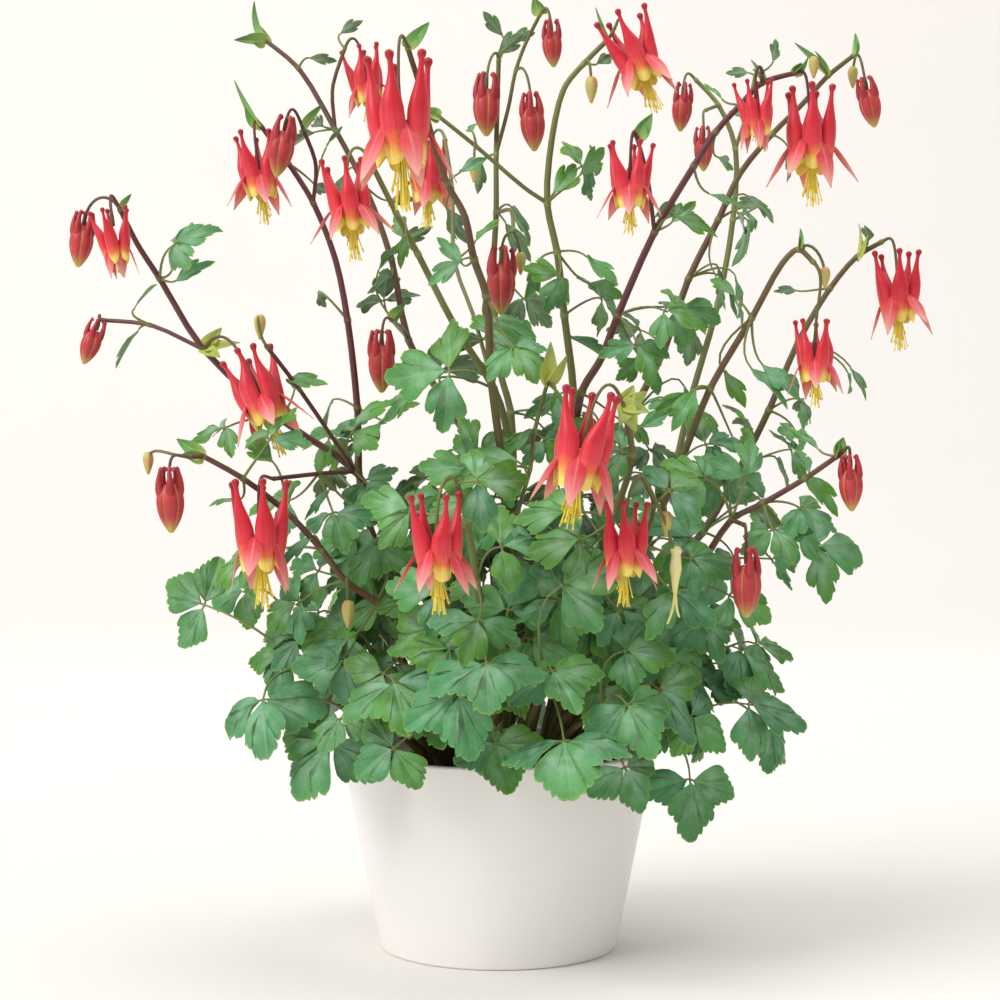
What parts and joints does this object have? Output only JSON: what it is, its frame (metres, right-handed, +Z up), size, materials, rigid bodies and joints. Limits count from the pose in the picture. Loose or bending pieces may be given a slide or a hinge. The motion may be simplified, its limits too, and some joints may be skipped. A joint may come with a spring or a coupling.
{
  "type": "potted columbine plant",
  "caption": "Columbine in a plain white tapered pot: arching stems of nodding red and yellow spurred flowers and closed buds over a low mound of lobed leaves.",
  "frame": {"origin": "centre of the pot's flat underside, on the surface that the pot stands on", "axes": "+Z up, +X to the right and -Y to the front, where the tallest bloom stands nearest the viewer"},
  "size_m": [0.3506, 0.2522, 0.4005],
  "materials": {
    "pot": "satin",
    "soil": "matte",
    "stem": "satin",
    "leaf": "matte",
    "bloom": "satin",
    "bud": "satin"
  },
  "bodies": {
    "root": {"pot": "pot", "soil": "soil", "stem_back_right": "stem", "stem_centre": "stem", "stem_far_left": "stem", "stem_far_right": "stem", "stem_front": "stem", "stem_front_right": "stem", "stem_front_tall": "stem", "stem_left": "stem", "stem_low_left": "stem", "stem_low_right": "stem", "stem_mid_left": "stem", "stem_mid_right": "stem", "stem_right": "stem", "stem_right_middle": "stem", "stem_tall_left": "stem", "stem_tall_right": "stem", "leaf_back": "leaf", "leaf_back_left": "leaf", "leaf_back_right": "leaf", "leaf_front": "leaf", "leaf_front_left": "leaf", "leaf_front_low_left": "leaf", "leaf_front_low_right": "leaf", "leaf_front_right": "leaf", "leaf_left": "leaf", "leaf_right": "leaf", "leaf_right_low": "leaf", "bloom_01": "bloom", "bloom_02": "bloom", "bloom_03": "bloom", "bloom_04": "bloom", "bloom_05": "bloom", "bloom_06": "bloom", "bloom_07": "bloom", "bloom_08": "bloom", "bloom_09": "bloom", "bloom_10": "bloom", "bloom_11": "bloom", "bloom_12": "bloom", "bloom_13": "bloom", "bloom_14": "bloom", "bloom_15": "bloom", "bud_01": "bud", "bud_02": "bud", "bud_03": "bud", "bud_04": "bud", "bud_05": "bud", "bud_06": "bud", "bud_07": "bud", "bud_08": "bud", "bud_09": "bud", "bud_10": "bud", "bud_11": "bud", "bud_12": "bud", "bud_13": "bud", "bud_14": "bud", "bud_15": "bud", "bud_16": "bud"}
  },
  "joints": []
}
